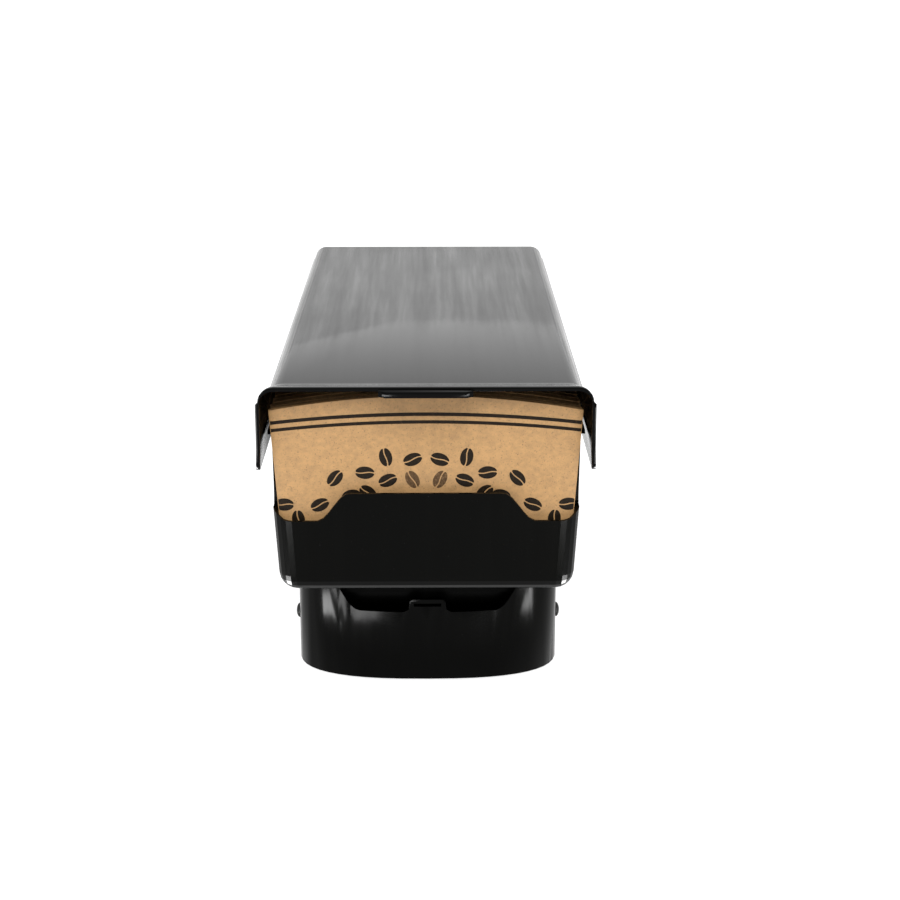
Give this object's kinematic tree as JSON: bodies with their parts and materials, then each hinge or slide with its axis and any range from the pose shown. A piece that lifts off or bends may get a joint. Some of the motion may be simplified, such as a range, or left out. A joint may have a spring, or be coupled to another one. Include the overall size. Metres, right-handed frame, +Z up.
{
  "type": "cup sleeve dispenser",
  "caption": "Countertop dispenser for folded cup sleeves: lidded black tray with spring pusher and low front wall, on a hollow oval stand with side pivots.",
  "frame": {"origin": "on the table, under the middle of the dispenser's overall length and width", "axes": "+Z up; -Y is the front, where sleeves are taken out; +X to the right of someone facing the front"},
  "size_m": [0.1414, 0.34, 0.1615],
  "materials": {
    "black_gloss": "injection-moulded gloss black plastic",
    "black_matte": "satin black plastic",
    "rubber": "moulded rubber",
    "zinc_steel": "zinc-plated steel",
    "spring_steel": "blued spring steel strip",
    "kraft": "uncoated corrugated kraft board"
  },
  "bodies": {
    "stand": {"stand_shell": "black_gloss", "stand_plate": "black_matte", "rubber_foot_1": "rubber", "rubber_foot_2": "rubber", "rubber_foot_3": "rubber", "rubber_foot_4": "rubber", "stand_screw_1": "zinc_steel", "stand_screw_2": "zinc_steel", "stand_screw_3": "zinc_steel", "stand_screw_4": "zinc_steel", "pivot_pin_left": "black_matte", "pivot_pin_right": "black_matte"},
    "tray": {"tray_shell": "black_gloss", "tray_keel": "black_gloss", "keel_screw_1": "zinc_steel", "keel_screw_2": "zinc_steel", "keel_screw_3": "zinc_steel", "keel_screw_4": "zinc_steel", "sleeve_front": "kraft", "sleeve_pack": "kraft", "hinge_pin": "zinc_steel", "hinge_cap_left": "black_matte", "hinge_cap_right": "black_matte", "spring_band": "spring_steel", "spring_hook": "spring_steel"},
    "lid": {"lid_shell": "black_gloss"},
    "pusher": {"pusher_plate": "black_matte", "pusher_carriage": "black_matte", "pusher_screw_1": "zinc_steel", "pusher_screw_2": "zinc_steel", "spool_axle": "zinc_steel"},
    "spool": {"spring_drum": "black_matte", "spring_coil": "spring_steel"}
  },
  "joints": [
    {"name": "tray_tilt", "type": "hinge", "parent": "stand", "child": "tray", "pos_m": [0, -0.062, 0.0212], "axis": [1, 0, 0], "range_deg": [0, 6]},
    {"name": "lid_hinge", "type": "hinge", "parent": "tray", "child": "lid", "pos_m": [0, 0.1655, 0.1267], "axis": [-1, 0, 0], "range_deg": [0, 105]},
    {"name": "pusher_slide", "type": "slide", "parent": "tray", "child": "pusher", "axis": [0, 1, 0], "range_m": [0, 0.066], "stiffness_N_per_m": 12, "springref_m": -0.25, "deforming": ["spring_band"]},
    {"name": "spool_spin", "type": "hinge", "parent": "pusher", "child": "spool", "pos_m": [0, 0.0551, 0.0826], "axis": [-1, 0, 0], "range_deg": [0, 361]}
  ],
  "couplings": [
    {"joint": "spool_spin", "follows": "pusher_slide", "rad_per_m": 95.238}
  ]
}
